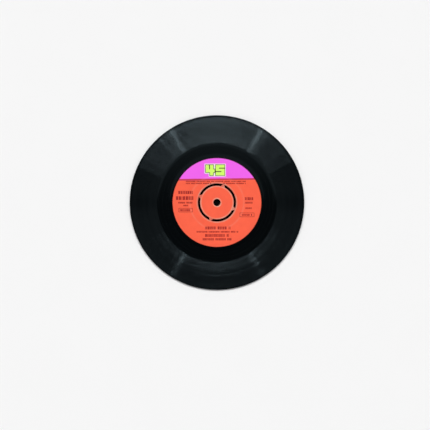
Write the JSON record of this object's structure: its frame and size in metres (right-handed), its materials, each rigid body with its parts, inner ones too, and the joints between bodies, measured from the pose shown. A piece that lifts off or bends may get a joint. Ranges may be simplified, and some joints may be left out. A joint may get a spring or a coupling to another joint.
{
  "type": "vinyl record",
  "caption": "Small vinyl record with a raised land under its paper labels, grooves on both faces, and a pronged centre that pushes out of a large hole.",
  "frame": {"origin": "on the spindle axis, in the plane of the lowest face of side B, which is what the record lies on", "axes": "+Z along the spindle out of side A, +Y towards the top of the side A label, +X to that label's right"},
  "size_m": [0.175, 0.175, 0.0017],
  "materials": {
    "vinyl": "pressed black PVC, glossy, with fine concentric grooves",
    "label_paper": "coated label paper pressed into the vinyl, orange-red with a magenta top segment and dark print"
  },
  "bodies": {
    "record": {"disc": "vinyl", "side_a_label": "label_paper", "side_b_label": "label_paper"},
    "centre": {"push_out_centre": "vinyl", "centre_label_a": "label_paper", "centre_label_b": "label_paper"}
  },
  "joints": [
    {"name": "centre_push_out", "type": "slide", "parent": "record", "child": "centre", "axis": [0, 0, 1], "range_m": [0, 0.025]}
  ]
}
